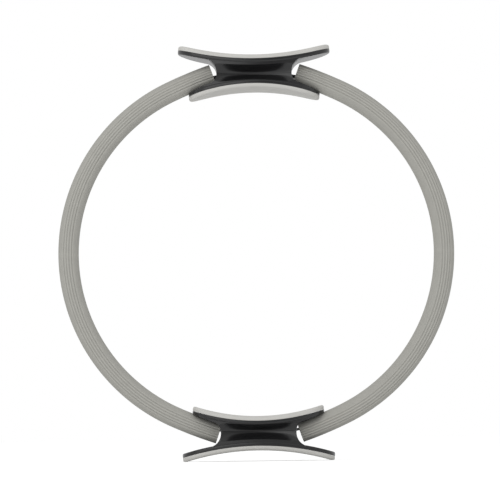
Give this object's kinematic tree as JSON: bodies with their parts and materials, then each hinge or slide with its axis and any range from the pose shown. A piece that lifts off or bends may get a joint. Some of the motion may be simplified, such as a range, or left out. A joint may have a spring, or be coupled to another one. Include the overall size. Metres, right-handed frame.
{
  "type": "pilates ring",
  "caption": "Springy pilates ring: steel bands in ribbed soft sleeves, joined by padded moulded handles above and below, squeezed or pulled for resistance training.",
  "frame": {"origin": "centre of the ring, halfway between the two handles", "axes": "+Z from the lower handle to the upper one, +Y through the ring, +X to the right sleeve"},
  "size_m": [0.38, 0.059, 0.3984],
  "materials": {
    "shell": "satin moulded ABS",
    "pad": "matt closed-cell EVA foam",
    "sleeve": "matt extruded foam rubber with lengthwise ribs",
    "spring": "blackened spring steel strip",
    "hardware": "zinc plated"
  },
  "bodies": {
    "lower_handle": {"lower_outer_shell": "shell", "lower_inner_shell": "shell", "lower_outer_pad": "pad", "lower_inner_pad": "pad", "lower_clamp_screws": "hardware", "lower_clamp_washers": "hardware", "lower_clamp_nuts": "hardware"},
    "upper_handle": {"upper_outer_shell": "shell", "upper_inner_shell": "shell", "upper_outer_pad": "pad", "upper_inner_pad": "pad", "upper_clamp_screws": "hardware", "upper_clamp_washers": "hardware", "upper_clamp_nuts": "hardware"},
    "left_bow": {"left_sleeve": "sleeve", "left_outer_leaf": "spring"},
    "left_inner_bow": {"left_inner_leaf": "spring"},
    "right_bow": {"right_sleeve": "sleeve", "right_outer_leaf": "spring"},
    "right_inner_bow": {"right_inner_leaf": "spring"}
  },
  "joints": [
    {"name": "squeeze", "type": "slide", "parent": "lower_handle", "child": "upper_handle", "axis": [0, 0, -1], "range_m": [-0.025, 0.07], "stiffness_N_per_m": 1200, "springref_m": -0.0025, "deforming": ["left_sleeve", "left_outer_leaf", "left_inner_leaf", "right_sleeve", "right_outer_leaf", "right_inner_leaf"]},
    {"name": "left_bow_spread", "type": "slide", "parent": "lower_handle", "child": "left_bow", "axis": [-0.6771, 0, -0.7359], "range_m": [-0.018, 0.0486]},
    {"name": "left_inner_bow_spread", "type": "slide", "parent": "upper_handle", "child": "left_inner_bow", "axis": [-0.6771, 0, 0.7359], "range_m": [-0.018, 0.0486]},
    {"name": "right_bow_spread", "type": "slide", "parent": "lower_handle", "child": "right_bow", "axis": [0.6771, 0, -0.7359], "range_m": [-0.018, 0.0486]},
    {"name": "right_inner_bow_spread", "type": "slide", "parent": "upper_handle", "child": "right_inner_bow", "axis": [0.6771, 0, 0.7359], "range_m": [-0.018, 0.0486]}
  ],
  "couplings": [
    {"joint": "left_bow_spread", "follows": "squeeze", "ratio": 0.6794},
    {"joint": "left_inner_bow_spread", "follows": "squeeze", "ratio": 0.6794},
    {"joint": "right_bow_spread", "follows": "squeeze", "ratio": 0.6794},
    {"joint": "right_inner_bow_spread", "follows": "squeeze", "ratio": 0.6794}
  ]
}
